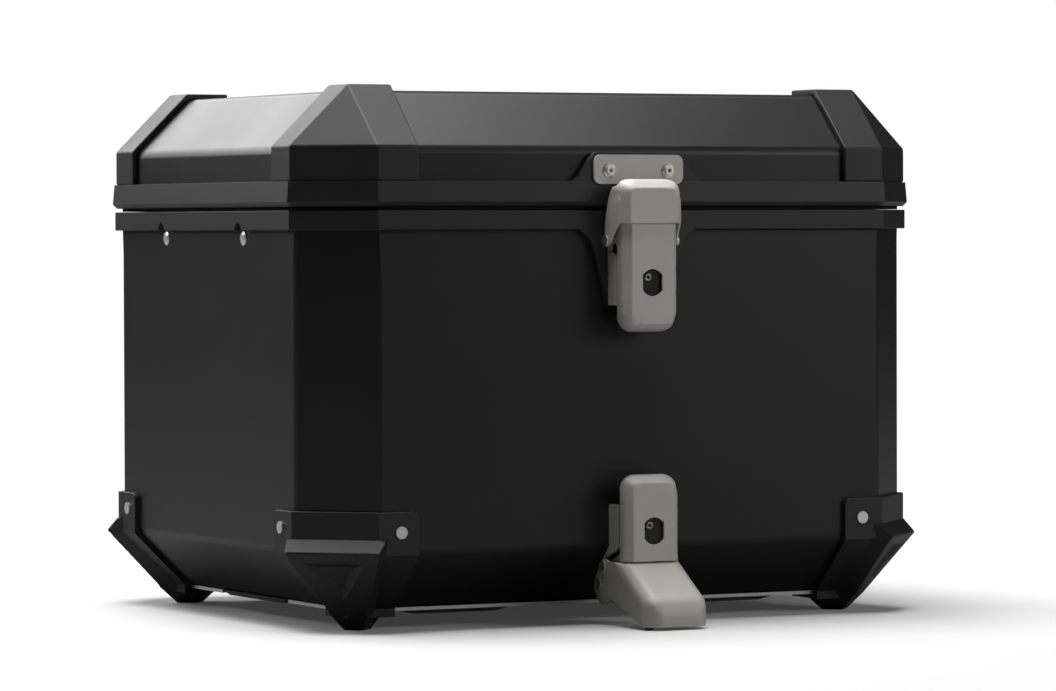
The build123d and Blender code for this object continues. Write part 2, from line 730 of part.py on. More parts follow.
def protector_rivets():
    """Flat-headed rivets, two in each corner protector."""
    front_x, side_y = protector_rivet_places()
    z = PROTECTOR_RIVET_HEIGHT
    side_z = PROTECTOR_SIDE_RIVET_HEIGHT
    face_y = -HALF_D - PROTECTOR_THICK
    face_x = -HALF_W - PROTECTOR_THICK
    front = rod("y", RIVET_HEAD_R, (front_x, z), face_y - RIVET_HEAD, face_y)
    front += rod("y", RIVET_SHANK_R, (front_x, z), face_y, -HALF_D + SHEET)
    side = rod("x", RIVET_HEAD_R, (side_y, side_z), face_x - RIVET_HEAD, face_x)
    side += rod("x", RIVET_SHANK_R, (side_y, side_z), face_x, -HALF_W + SHEET)
    return compound(at_corners([front, side]))


def base_plate():
    """Bare plate under the base that doubles its sheet, cut back from the corner protectors."""
    top = rectangle_corners(BASE_INSET, BASE_HEIGHT)
    plate = Solid.extrude(Face(Wire.make_polygon(top)), Vector(0, 0, -BASE_PLATE))
    x = CAP_END_X - PLATE_CLEAR
    y = CAP_END_Y - PLATE_CLEAR
    corner = block(-HALF_W, -x, -HALF_D, -y, 0, 2 * BASE_HEIGHT)
    for cut in at_corners([corner]):
        plate -= cut
    edge = HALF_W - BASE_INSET - SIDE_PAD_WIDTH - PLATE_CLEAR
    y0 = SIDE_PAD[0] - PLATE_CLEAR
    y1 = SIDE_PAD[1] + PLATE_CLEAR
    for x0, x1 in ((-HALF_W, -edge), (edge, HALF_W)):
        plate -= block(x0, x1, y0, y1, 0, 2 * BASE_HEIGHT)
    return plate


def side_pads():
    """Thin pads along the middle of the base's left and right edges, with sloped ends."""
    pads = []
    outer = HALF_W - BASE_INSET
    y0, y1 = SIDE_PAD
    low = BASE_HEIGHT - SIDE_PAD_DROP
    for x0 in (-outer, outer - SIDE_PAD_WIDTH):
        face = Face(Wire.make_polygon([
            Vector(x0, y0, BASE_HEIGHT),
            Vector(x0, y0 + PAD_RUN, low),
            Vector(x0, y1 - PAD_RUN, low),
            Vector(x0, y1, BASE_HEIGHT),
        ]))
        pads.append(Solid.extrude(face, Vector(SIDE_PAD_WIDTH, 0, 0)))
    return pads


def base_pads():
    """Moulded skid pads under the base, with sloped ends."""
    pads = []
    edge = HALF_D - BASE_INSET - 3
    left = -CAP_END_X + PAD_GAPS[0]
    right = CAP_END_X - PAD_GAPS[1]
    for x0, x1 in ((left, left + PAD_LENGTHS[0]), (right - PAD_LENGTHS[1], right)):
        top = BASE_HEIGHT - BASE_PLATE
        low = BASE_HEIGHT - PAD_DROP
        face = Face(Wire.make_polygon([
            Vector(x0, -edge, top),
            Vector(x0 + PAD_RUN, -edge, low),
            Vector(x1 - PAD_RUN, -edge, low),
            Vector(x1, -edge, top),
        ]))
        pad = Solid.extrude(face, Vector(0, PAD_DEPTH, 0))
        pads += [pad, to_rear(pad)]
    return compound(pads + side_pads())


# ---------------------------------------------------------------- latch pieces
def lever_cover(low, high, key_height, round_low):
    """Folded lock housing: bevelled front, key window, rounded free end, open at the back."""
    hinge_z = high if round_low else low
    radii = {0: LEVER_END_R, 1: LEVER_END_R} if round_low else {2: LEVER_END_R, 3: LEVER_END_R}

    def form(shrink, out0, bevel):
        z0 = low + (shrink if round_low else -1)
        z1 = high + (1 if round_low else -shrink)
        if not shrink:
            z0, z1 = low, high
        half = LEVER_HALF - shrink
        points = [(-half, z0), (half, z0), (half, z1), (-half, z1)]
        shape = facing_plate(points, out0, LEVER_FRONT - shrink, {i: r - shrink for i, r in radii.items()})
        front = shape.faces().sort_by(Axis.Y)[0]
        rim = [e for e in front.edges() if abs(e.center().Z - hinge_z) > 1.6 or e.length < 2]
        return chamfer(rim, bevel)

    cover = form(0, LEVER_BACK, LEVER_BEVEL)
    front_edges = cover.faces().sort_by(Axis.Y)[0].edges()
    bends = [e for e in front_edges if abs(e.center().Z - hinge_z) > LEVER_BEND_R]
    cover = fillet(bends, LEVER_BEND_R)
    cover -= form(LEVER_SHEET, LEVER_BACK - 1, LEVER_BEVEL - 0.6)
    window = rod("y", KEY_R, (0, key_height), -HALF_D - LEVER_FRONT - 1, -HALF_D - LEVER_BACK)
    window &= block(-KEY_HALF, KEY_HALF, -HALF_D - LEVER_FRONT - 1, -HALF_D - LEVER_BACK,
                    key_height - KEY_R, key_height + KEY_R)
    return cover - window


def lug_pair(outline_circles, bridge, cover_z, inner_front):
    """Two lugs inside the lever, joined by a web that is welded to the housing's front."""
    z0, z1 = cover_z
    lug = side_plate(bridge, LUG_OUT - LUG_SHEET, LUG_OUT)
    for out, z in outline_circles:
        lug += rod("x", LUG_R, (-HALF_D - out, z), LUG_OUT - LUG_SHEET, LUG_OUT)
    frame = both_sides(lug)
    frame += block(-LUG_OUT, LUG_OUT, -HALF_D - inner_front, -HALF_D - inner_front + LUG_SHEET, z0, z1)
    return frame


def hinge_pin(out, z, reach, head_at):
    """A riveted pin along X with a flat head at each end."""
    pin = rod("x", PIN_R, (-HALF_D - out, z), -reach, reach)
    head = rod("x", PIN_HEAD_R, (-HALF_D - out, z), head_at, head_at + PIN_HEAD)
    return pin + both_sides(head)


def pin_hole(out, z, r):
    """Cutter for a pin's holes, all the way across the latch."""
    return rod("x", r, (-HALF_D - out, z), -2 * HOOK_HALF, 2 * HOOK_HALF)


def lock_barrel(key_height):
    """Fixed sleeve of the lock, seated behind the housing's front."""
    front = -HALF_D - LEVER_FRONT + LEVER_SHEET
    back = -HALF_D - LEVER_BACK + 1.5
    sleeve = rod("y", BARREL_R, (0, key_height), front, back)
    return sleeve - rod("y", CORE_R + CORE_CLEAR, (0, key_height), front - 1, back + 1)


def lock_core(key_height):
    """Turning cylinder with the small round nub on its dust cap."""
    face = -HALF_D - LEVER_FRONT + CORE_RECESS
    core = rod("y", CORE_R, (0, key_height), face, -HALF_D - LEVER_BACK + 2.6)
    nub = rod("y", NUB_R, (-2.6, key_height + 3.2), face - 1.2, face + 1)
    return core + nub


def lock_cam(key_height, direction):
    """Flat cam on the back of the cylinder."""
    y0 = -HALF_D - LEVER_BACK + 2.6
    cam = rod("y", CAM_HALF * 1.6, (0, key_height), y0, y0 + CAM_SHEET)
    z0, z1 = sorted((key_height, key_height + direction * CAM_REACH))
    return cam + block(-CAM_HALF, CAM_HALF, y0, y0 + CAM_SHEET, z0, z1)


def base_rivet_places():
    """Rivets that hold the latch bases: (x, z, depth of the base's outer face)."""
    low = LATCH_PIN_HEIGHT + LATCH_BASE_LOW
    lid_face = SEAT_OUT + WEB_SHEET
    lid = [(x, low + 6, lid_face) for x in (-9, 9)] + [(x, low + 24, lid_face) for x in (-9, 9)]
    rack = [(x, (RACK_BASE_LOW + RACK_BASE_HIGH) / 2, WEB_SHEET) for x in (-9, 9)]
    return lid, rack


def base_rivet_holes():
    """Cutters for the rivets of all three latch bases."""
    lid, rack = base_rivet_places()
    holes = []
    for x, z, face in lid:
        hole = rod("y", HOLE_R, (x, z), -HALF_D - face - SHEET, -HALF_D + 3 * SHEET)
        holes += [hole, to_rear(hole)]
    for x, z, face in rack:
        holes.append(rod("y", HOLE_R, (x, z), -HALF_D - face - SHEET, -HALF_D + 3 * SHEET))
    return holes


def base_rivets():
    """Rivets behind the levers, through each base and the wall."""
    lid, rack = base_rivet_places()
    rivets = []
    for x, z, face in lid + rack:
        rivet = rod("y", 2 * RIVET_SHANK_R, (x, z), -HALF_D - face - 1.2, -HALF_D - face)
        rivet += rod("y", RIVET_SHANK_R, (x, z), -HALF_D - face, -HALF_D + SHEET)
        rivets.append(rivet)
        if (x, z, face) in lid:
            rivets.append(to_rear(rivet))
    return compound(rivets)


# ---------------------------------------------------------------- lid latch, drawn at the front
def latch_z(up):
    """Height of a place on the lid latch, counted from the hook's pin."""
    return LATCH_PIN_HEIGHT + up


def latch_base():
    """Folded base: a web seated in the collar's tongue and two flanges that carry the pivot."""
    web_face = SEAT_OUT + WEB_SHEET
    low, high = latch_z(LATCH_BASE_LOW), latch_z(LATCH_BASE_HIGH)
    outer = LATCH_FLANGE_OUT
    inner = outer - FLANGE_SHEET
    base = block(-outer, outer, -HALF_D - web_face, -HALF_D - SEAT_OUT, low, high)
    lower = [
        (SEAT_OUT, low),
        (FLANGE_REACH, low),
        (FLANGE_REACH, latch_z(-LATCH_NOTCH - 3)),
        (FLANGE_REACH - 3, latch_z(-LATCH_NOTCH)),
        (SEAT_OUT, latch_z(-LATCH_NOTCH)),
    ]
    pivot = latch_z(LATCH_PIVOT_UP)
    upper = [
        (SEAT_OUT, pivot - LUG_R - 0.8),
        (LATCH_PIVOT_OUT, pivot - LUG_R - 0.4),
        (LATCH_PIVOT_OUT, pivot + LUG_R + 0.4),
        (SEAT_OUT, high),
    ]
    flange = side_plate(lower, inner, outer) + side_plate(upper, inner, outer)
    flange += rod("x", LUG_R + 0.4, (-HALF_D - LATCH_PIVOT_OUT, pivot), inner, outer)
    base += both_sides(flange)
    window = inner - 2
    base -= block(-window, window, -HALF_D - web_face - 1, -HALF_D, latch_z(-LATCH_NOTCH - 1), latch_z(8))
    base -= pin_hole(LATCH_PIVOT_OUT, pivot, PIN_R)
    for hole in base_rivet_holes():
        base -= hole
    return base


def latch_lever_frame():
    """Lugs of the lid latch's lever, bored for the pivot and the hook's pin."""
    pivot = (LATCH_PIVOT_OUT, latch_z(LATCH_PIVOT_UP))
    pin = (LATCH_PIN_OUT, latch_z(0))
    inner_front = LEVER_FRONT - LEVER_SHEET
    bridge = [
        (pin[0] - LUG_R, pin[1]),
        (pin[0], pin[1] - LUG_R),
        (inner_front, pin[1] - LUG_R),
        (inner_front, latch_z(8)),
        (pivot[0] + LUG_R, pivot[1]),
        (pivot[0] - LUG_R, pivot[1]),
    ]
    frame = lug_pair([pivot, pin], bridge, (latch_z(-LUG_R), latch_z(8)), inner_front)
    frame -= pin_hole(*pivot, PIN_R + PIN_CLEAR)
    return frame - pin_hole(*pin, PIN_R)


def hook_flare(shrink):
    """The part of the hook's inside or outside that widens towards its ears, right half."""
    ear = HOOK_EAR_HALF - shrink
    cap = HOOK_HALF - shrink
    seen = [(0, -20), (ear, -20), (ear, HOOK_FLARE_LOW), (cap, HOOK_FLARE_TOP), (0, HOOK_FLARE_TOP)]
    front = facing_plate([(x, latch_z(up)) for x, up in seen], 0, HOOK_FRONT)
    start = HOOK_FRONT - HOOK_BEVEL
    plan = [(0, 0), (ear, 0), (ear, start - 9), (cap, start), (0, start)]
    base = Face(Wire.make_polygon([Vector(x, -HALF_D - out, latch_z(-30)) for x, out in plan]))
    return front & Solid.extrude(base, Vector(0, 0, 90))


def latch_hook():
    """Folded hook cover: bevelled cap over the lever's end, with an ear down to the pin each side."""
    front = HOOK_FRONT
    roof = latch_z(HOOK_TOP)

    def form(shrink, z0, bevel):
        half = HOOK_HALF - shrink
        points = [(-half, z0), (half, z0), (half, roof - shrink), (-half, roof - shrink)]
        r = HOOK_CORNER_R - shrink
        shape = facing_plate(points, 0, front - shrink, {2: r, 3: r})
        face = shape.faces().sort_by(Axis.Y)[0]
        return chamfer([e for e in face.edges() if e.center().Z > z0 + 1], bevel)

    outer = form(0, latch_z(-20), HOOK_BEVEL)
    soft = [e for e in outer.faces().sort_by(Axis.Y)[0].edges() if e.center().Z > latch_z(-19)]
    outer = fillet(soft, 2.0) + both_sides(hook_flare(0))
    inner = form(HOOK_SHEET, latch_z(-21), HOOK_BEVEL - 0.5) + both_sides(hook_flare(HOOK_SHEET))
    side = [
        (front + 1, latch_z(HOOK_EDGE)),
        (front + 1, roof + 1),
        (HOOK_ROOF_START, roof + 1),
        (HOOK_ROOF_START, roof - 1.8),
        (HOOK_ROOF_START - 3.4, roof - 4.6),
        (HOOK_BACK, roof - 11),
        (HOOK_BACK - 0.7, latch_z(12)),
        (HOOK_BACK - 0.7, latch_z(5.5)),
        (LATCH_PIN_OUT - LUG_R - 0.4, latch_z(0)),
        (LATCH_PIN_OUT, latch_z(-LUG_R - 0.4)),
        (LATCH_PIN_OUT + 3.2, latch_z(-2.2)),
        (front - 8.6, latch_z(HOOK_EDGE - 3.9)),
        (front - 5.0, latch_z(HOOK_EDGE)),
    ]
    wide = HOOK_EAR_HALF + 1
    profile = side_plate(side, -wide, wide)
    profile += rod("x", LUG_R + 0.4, (-HALF_D - LATCH_PIN_OUT, latch_z(0)), -wide, wide)
    hook = (outer & profile) - inner
    return hook - pin_hole(LATCH_PIN_OUT, latch_z(0), PIN_R + PIN_CLEAR)


def latch_claw():
    """Forked claw welded under the hook's roof; its two legs pass outside the strike's bead."""
    roof = latch_z(HOOK_TOP) - HOOK_SHEET
    back = -HALF_D - BEAD_OUT + 1.5
    top = block(-CLAW_HALF, CLAW_HALF, -HALF_D - 21.0, back, roof - HOOK_SHEET, roof)
    top -= block(-CLAW_SLOT_HALF, CLAW_SLOT_HALF, -HALF_D - 17.8, -HALF_D, roof - 5, roof + 5)
    leg_out = BEAD_OUT + BEAD_R + 0.6
    leg_face = -HALF_D - leg_out
    leg = block(CLAW_SLOT_HALF, CLAW_HALF, leg_face - HOOK_SHEET, leg_face, roof - 7.5, roof)
    return top + both_sides(leg)


# ---------------------------------------------------------------- rack lock
def rack_base():
    """Base of the rack lock, with flanges that reach down past the bend to the lever's pivot."""
    outer = RACK_FLANGE_OUT
    inner = outer - FLANGE_SHEET
    web = block(-outer, outer, -HALF_D - WEB_SHEET, -HALF_D, RACK_BASE_LOW, RACK_BASE_HIGH)
    pivot = (RACK_PIN_OUT - RACK_PIVOT_IN, RACK_PIN_HEIGHT - RACK_PIVOT_DOWN)
    outline = [
        (0, RACK_BASE_HIGH),
        (FLANGE_REACH, RACK_BASE_HIGH),
        (FLANGE_REACH, BEND_HEIGHT),
        (7.5, 44.2),
        (-2.4, 40.6),
        (pivot[0] + LUG_R + 0.4, pivot[1] + 0.5),
        (pivot[0] - LUG_R - 0.2, pivot[1] + 0.9),
        (-4.2, 44.0),
        (0, 47.6),
    ]
    flange = side_plate(outline, inner, outer)
    flange += rod("x", LUG_R + 0.4, (-HALF_D - pivot[0], pivot[1]), inner, outer)
    base = web + both_sides(flange) - tub(0)
    base -= pin_hole(*pivot, PIN_R)
    for hole in base_rivet_holes():
        base -= hole
    return base


def rack_lever_frame():
    """Lugs of the rack lock's lever, bored for its pivot and for the hook's pin."""
    pivot = (RACK_PIN_OUT - RACK_PIVOT_IN, RACK_PIN_HEIGHT - RACK_PIVOT_DOWN)
    pin = (RACK_PIN_OUT, RACK_PIN_HEIGHT)
    inner_front = LEVER_FRONT + RACK_LEVER_OUT - LEVER_SHEET
    bridge = [
        (pivot[0] + 0.6, pivot[1] - LUG_R + 0.1),
        (pin[0] + 1, pin[1] - LUG_R + 0.1),
        (inner_front - 3, RACK_LEVER_LOW + 0.5),
        (inner_front, RACK_LEVER_LOW + 0.5),
        (inner_front, RACK_LEVER_LOW + 5.5),
        (LEVER_BACK, RACK_LEVER_LOW + 5.5),
        (pin[0] + 0.5, pin[1] + LUG_R),
        (pivot[0], pivot[1] + LUG_R),
    ]
    frame = lug_pair([pivot, pin], bridge, (RACK_LEVER_LOW + 0.5, RACK_LEVER_LOW + 5.5), inner_front)
    frame -= pin_hole(*pivot, PIN_R + PIN_CLEAR)
    return frame - pin_hole(*pin, PIN_R)


def rack_place(along, normal):
    """A place on the hanging hook: along it from the pin, and outwards from it, as (out, z)."""
    a = radians(RACK_HOOK_ANGLE)
    out = RACK_PIN_OUT + along * sin(a) + normal * cos(a)
    return out, RACK_PIN_HEIGHT - along * cos(a) + normal * sin(a)


def rack_hook_side(shrink):
    """Side outline of the hook's cap: its front line, bevelled end and upright end wall."""
    a = radians(RACK_HOOK_ANGLE)
    end = RACK_HOOK_END - shrink
    normal = RACK_HOOK_FRONT - shrink
    along = (end - RACK_PIN_OUT - normal * cos(a)) / sin(a)
    corner_z = rack_place(along, normal)[1]
    start = rack_place(along - RACK_HOOK_END_RUN, normal)
    head = rack_place(-20, normal)
    return [head, start, (end, corner_z - RACK_HOOK_END_DROP)]


def rack_hook_form(shrink, bevel):
    """The hook's inside or outside before its outline is cut: bevelled bar with a round end."""
    a = radians(RACK_HOOK_ANGLE)
    half = HOOK_HALF - shrink
    front = RACK_HOOK_FRONT - shrink
    section = [
        (-half, -60), (half, -60), (half, front - bevel),
        (half - bevel, front), (bevel - half, front), (-half, front - bevel),
    ]
    points = []
    for x, normal in section:
        out, z = rack_place(-40, normal)
        points.append(Vector(x, -HALF_D - out, z))
    bar = Solid.extrude(Face(Wire.make_polygon(points)), Vector(0, -sin(a), -cos(a)) * 160)
    end = RACK_HOOK_END - shrink
    r = RACK_HOOK_END_R - shrink
    plan = block(-half, half, -HALF_D - end, -HALF_D + 60, -60, 120)
    plan = fillet([e for e in plan.edges().filter_by(Axis.Z) if e.center().Y < -HALF_D], r)
    return bar & plan


def rack_hook_cap():
    """The rack hook in its hanging place, cut level under the lever and bored for its pin."""
    level = RACK_LEVER_LOW - RACK_HOOK_GAP
    _, start, bevel_end = rack_hook_side(0)
    a = radians(RACK_HOOK_ANGLE)
    top_along = (RACK_PIN_HEIGHT + RACK_HOOK_FRONT * sin(a) - level) / cos(a)
    side = [
        rack_place(top_along, RACK_HOOK_FRONT),
        start,
        bevel_end,
        (bevel_end[0], RACK_HOOK_LIFT),
        (bevel_end[0] - 8, RACK_HOOK_LIFT),
        (32.5, 7.6),
        (19.1, 12.8),
        (8.0, 15.5),
        (3.0, 12.6),
        (-3.5, 11.8),
        (-8.0, 14.6),
        (-12.6, 20.8),
        (-12.0, 26.5),
        (-7.0, 33.0),
        (-4.8, 37.0),
        (-2.6, 39.0),
        (0.8, 39.2),
        (6.5, level),
    ]
    wide = HOOK_HALF + 1
    hook = rack_hook_form(0, RACK_HOOK_BEVEL) & side_plate(side, -wide, wide)
    _, start, bevel_end = rack_hook_side(HOOK_SHEET)
    far = rack_place(-40, RACK_HOOK_FRONT - HOOK_SHEET)
    hollow = side_plate([far, start, bevel_end, (bevel_end[0], -30), (-60, -30), (-60, far[1])], -wide, wide)
    hook -= rack_hook_form(HOOK_SHEET, RACK_HOOK_BEVEL - 0.5) & hollow
    hook -= pin_hole(RACK_PIN_OUT, RACK_PIN_HEIGHT, PIN_R + PIN_CLEAR)
    eye_out, eye_z = rack_place(RACK_EYE_DOWN, -RACK_EYE_IN)
    return hook - pin_hole(eye_out, eye_z, PIN_R + PIN_CLEAR)


def rack_claw():
    """Tooth inside the hook that grips the rack, held by a tube through the ears' lower eyes."""
    eye_out, eye_z = rack_place(RACK_EYE_DOWN, -RACK_EYE_IN)
    points = [
        (eye_out - 2.6, eye_z + 2.0),
        (eye_out + 2.8, eye_z + 1.2),
        (eye_out + 9.0, eye_z - 4.5),
        (eye_out + 4.5, eye_z - 11.5),
        (eye_out - 1.2, eye_z - 10.5),
    ]
    inner = HOOK_HALF - HOOK_SHEET - 0.3
    plate = side_plate(points, inner - 1.6, inner)
    claw = both_sides(plate)
    outer_end, lower_end = points[2], points[3]
    bar_outline = [
        outer_end,
        lower_end,
        (lower_end[0] - 1.2, lower_end[1] + 1.2),
        (outer_end[0] - 1.6, outer_end[1] + 0.4),
    ]
    claw += side_plate(bar_outline, -inner, inner)
    return claw - pin_hole(eye_out, eye_z, PIN_R + PIN_CLEAR)


def rack_claw_pin():
    """Hollow rivet through the ears' lower eyes."""
    eye_out, eye_z = rack_place(RACK_EYE_DOWN, -RACK_EYE_IN)
    pin = hinge_pin(eye_out, eye_z, HOOK_HALF, HOOK_HALF)
    return pin - rod("x", PIN_R * 0.6, (-HALF_D - eye_out, eye_z), -2 * HOOK_HALF, 2 * HOOK_HALF)


def hook_buffer():
    """Small rubber stud at the hook's tip, on which the hanging hook rests."""
    x, out = BUFFER_PLACE
    a = radians(RACK_HOOK_ANGLE)
    along = (out - RACK_PIN_OUT - RACK_HOOK_FRONT * cos(a)) / sin(a)
    height = rack_place(along, RACK_HOOK_FRONT)[1]
    stud = Pos(x, -HALF_D - out, height / 2) * Cylinder(BUFFER_R, height)
    start = rack_hook_side(HOOK_SHEET)[1]
    far = rack_place(-40, RACK_HOOK_FRONT - HOOK_SHEET)
    under = side_plate([far, start, (start[0] + 9, start[1] - 9), (start[0], -20), (-60, -20)], -30, 30)
    return stud & under


# ---------------------------------------------------------------- assembly
def lid_latch_parts(prefix, place):
    """All pieces of one lid latch; place puts the front latch's piece where this latch is."""
    pivot = (LATCH_PIVOT_OUT, latch_z(LATCH_PIVOT_UP))
    pin = (LATCH_PIN_OUT, latch_z(0))
    key = latch_z(LATCH_KEY)
    cover = lever_cover(latch_z(LATCH_LEVER_LOW), latch_z(LATCH_LEVER_HIGH), key, True)
    hook = latch_hook()
    pieces = {
        "latch_base": latch_base(),
        "lever_pivot": hinge_pin(*pivot, LATCH_FLANGE_OUT, LATCH_FLANGE_OUT),
        "lever": cover,
        "lever_frame": latch_lever_frame() - cover,
        "hook_pin": hinge_pin(*pin, HOOK_EAR_HALF + PIN_CLEAR, HOOK_EAR_HALF + PIN_CLEAR),
        "hook": hook,
        "hook_claw": latch_claw() - hook,
        "lock_barrel": lock_barrel(key),
        "lock_core": lock_core(key),
        "lock_cam": lock_cam(key, -1),
        "strike": strike_plate(),
        "strike_rivets": compound(strike_rivets()),
    }
    return {f"{prefix}_{name}": place(shape) for name, shape in pieces.items()}


def rack_lock_parts():
    """All pieces of the rack lock."""
    pivot = (RACK_PIN_OUT - RACK_PIVOT_IN, RACK_PIN_HEIGHT - RACK_PIVOT_DOWN)
    pin = (RACK_PIN_OUT, RACK_PIN_HEIGHT)
    outwards = Location((0, -RACK_LEVER_OUT, 0))
    cover = lever_cover(RACK_LEVER_LOW, RACK_LEVER_HIGH, RACK_KEY, False).moved(outwards)
    trim = HALF_D + LEVER_BACK + RACK_LEVER_OUT
    cover -= block(-HOOK_HALF, HOOK_HALF, -trim - RACK_LEVER_TRIM, -trim + 1, 0, LATCH_PIN_HEIGHT)
    hook = rack_hook_cap()
    return {
        "rack_lock_base": rack_base(),
        "rack_lever_pivot": hinge_pin(*pivot, RACK_FLANGE_OUT, RACK_FLANGE_OUT),
        "rack_lever": cover,
        "rack_lever_frame": rack_lever_frame() - cover,
        "rack_hook_pin": hinge_pin(*pin, HOOK_HALF + PIN_CLEAR, HOOK_HALF + PIN_CLEAR),
        "rack_hook": hook,
        "rack_claw": rack_claw(),
        "rack_claw_pin": rack_claw_pin(),
        "rack_hook_buffer": hook_buffer() - hook,
        "rack_lock_barrel": lock_barrel(RACK_KEY).moved(outwards),
        "rack_lock_core": lock_core(RACK_KEY).moved(outwards),
        "rack_lock_cam": lock_cam(RACK_KEY, 1).moved(outwards),
    }


def build():
    """Every node of the case, by name, about the middle of the box."""
    nodes = {
        "body_shell": body_shell(),
        "body_collar": body_collar(),
        "strap_anchor_left": strap_anchor(-1),
        "strap_anchor_right": strap_anchor(1),
        "anchor_rivets": anchor_rivets(),
        "protector_rivets": protector_rivets(),
        "latch_base_rivets": base_rivets(),
        "base_plate": base_plate(),
        "base_pads": base_pads(),
        "lid_shell": lid_shell(),
        "lid_band": lid_band(),
        "lid_seal": lid_seal(),
    }
    protector = corner_protector()
    cap = lid_cap()
    for name, (sx, sy) in CORNERS.items():
        nodes[f"corner_protector_{name}"] = to_corner(protector, sx, sy)
        nodes[f"lid_cap_{name}"] = to_corner(cap, sx, sy)
    nodes.update(lid_latch_parts("front", lambda shape: shape))
    nodes.update(lid_latch_parts("rear", to_rear))
    nodes.update(rack_lock_parts())
    return nodes


def main():
    """Builds the nodes, centres their common box on the origin and writes them."""
    nodes = build()
    boxes = [shape.bounding_box() for shape in nodes.values()]
    shift_x = -(min(b.min.X for b in boxes) + max(b.max.X for b in boxes)) / 2
    shift_y = -(min(b.min.Y for b in boxes) + max(b.max.Y for b in boxes)) / 2
    shift_z = -min(b.min.Z for b in boxes)
    print("box centre moved by", round(shift_x, 3), round(shift_y, 3), round(shift_z, 3))
    shift = Location((shift_x, shift_y, shift_z))
    os.makedirs("parts", exist_ok=True)
    for name, shape in nodes.items():
        solids = [solid.moved(shift) for solid in shape.solids()]
        node = solids[0] if len(solids) == 1 else Compound(solids)
        export_step(node, f"parts/{name}.step")


main()
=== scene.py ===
"""Looks of a black aluminium motorcycle top case: a studio, finishes made from nodes, and softened pieces."""
import json
from math import cos, degrees, pi, radians, sin

import bmesh
import bpy
import numpy as np
from mathutils import Matrix, Vector
from mathutils.kdtree import KDTree


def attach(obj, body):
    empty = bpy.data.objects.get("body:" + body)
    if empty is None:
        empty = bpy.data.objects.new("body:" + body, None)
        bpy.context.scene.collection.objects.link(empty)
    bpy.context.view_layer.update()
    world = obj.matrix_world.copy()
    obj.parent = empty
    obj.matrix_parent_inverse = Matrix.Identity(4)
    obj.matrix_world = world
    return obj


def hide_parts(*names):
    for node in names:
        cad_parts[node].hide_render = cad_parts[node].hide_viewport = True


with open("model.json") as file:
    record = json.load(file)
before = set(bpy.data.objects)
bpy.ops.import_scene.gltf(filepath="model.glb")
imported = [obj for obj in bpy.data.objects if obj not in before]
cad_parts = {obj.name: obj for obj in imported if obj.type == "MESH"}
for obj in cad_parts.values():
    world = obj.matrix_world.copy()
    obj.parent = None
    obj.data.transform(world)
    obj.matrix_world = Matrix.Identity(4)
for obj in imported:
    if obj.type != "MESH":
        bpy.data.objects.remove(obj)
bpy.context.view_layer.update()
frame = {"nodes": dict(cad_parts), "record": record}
NODES = frame["nodes"]
MM = 0.001

# Box's walls from its middle, the bend above its sloped base, and the protectors' sheet, in mm
BOX_MIDDLE_Y = 15.85
WALL_X, WALL_Y, WALL_CUT = 205.0, 166.0, 36.5
BEND_Z = 47.0
BASE_SLOPE = 0.74
PROTECTOR_THICK = 3.0
WEDGE_BOTTOM, WEDGE_TOP = 9.0, 54.5
RIM_RADIUS = 0.6

# Folds sharper than this many degrees stay creases in the shading
SMOOTH_ANGLE = 35.0

# Rings round the lock nubs, in mm
NUB_HEIGHT = 1.2
RING_STEPS = 28

# Camera: degrees, metres and the pixels of its lens
CAMERA_YAW = 27.2023
CAMERA_PITCH = 1.33660
CAMERA_ROLL = -0.17309
CAMERA_DISTANCE = 3.11644
CAMERA_LENS_PIXELS = 4999.6
IMAGE_WIDTH = 1056
SENSOR_MM = 36.0
AIM_RIGHT = 12.678 * MM
AIM_HEIGHT = 162.201 * MM

# Studio: the floor's half width and where it fades to white, in metres; the room's light
FLOOR_HALF = 9.0
FADE_START, FADE_END = 0.55, 1.1
SHADOW_LIFT = 0.04
ROOM_LEVEL = 0.014


# ------------------------------------------------------------------ small helpers
def srgb(code):
    """Linear RGBA of an sRGB hex colour such as "#1a2b3c"."""
    channels = [int(code[i:i + 2], 16) / 255 for i in (1, 3, 5)]
    return [c / 12.92 if c <= 0.04045 else ((c + 0.055) / 1.055) ** 2.4 for c in channels] + [1.0]


def add(tree, kind, inputs=(), **settings):
    """Adds one node; each input is a value or another node's output socket."""
    node = tree.nodes.new(kind)
    for key, value in settings.items():
        setattr(node, key, value)
    for key, value in dict(inputs).items():
        if isinstance(value, bpy.types.NodeSocket):
            tree.links.new(value, node.inputs[key])
        else:
            node.inputs[key].default_value = value
    return node


def start_material(name):
    """A new node material with an empty tree; returns it with its tree."""
    material = bpy.data.materials.new(name)
    material.use_nodes = True
    tree = material.node_tree
    tree.nodes.clear()
    return material, tree


def close_material(tree, shader):
    """Sends a shader to the surface output."""
    out = add(tree, "ShaderNodeOutputMaterial")
    tree.links.new(shader, out.inputs["Surface"])


def per_metre(size_mm):
    """Texture scale whose features are size_mm across."""
    return 1.0 / (size_mm * MM)


def blend_value(tree, factor, low, high):
    """A value that runs from low to high as factor goes from 0 to 1."""
    ramp = add(tree, "ShaderNodeMapRange", {"Value": factor, "To Min": low, "To Max": high})
    return ramp.outputs["Result"]


def blend_colour(tree, factor, low, high):
    """A colour that runs from low to high as factor goes from 0 to 1."""
    mix = add(tree, "ShaderNodeMix", {"Factor": factor}, data_type="RGBA")
    mix.inputs[6].default_value = srgb(low)
    mix.inputs[7].default_value = srgb(high)
    return mix.outputs[2]


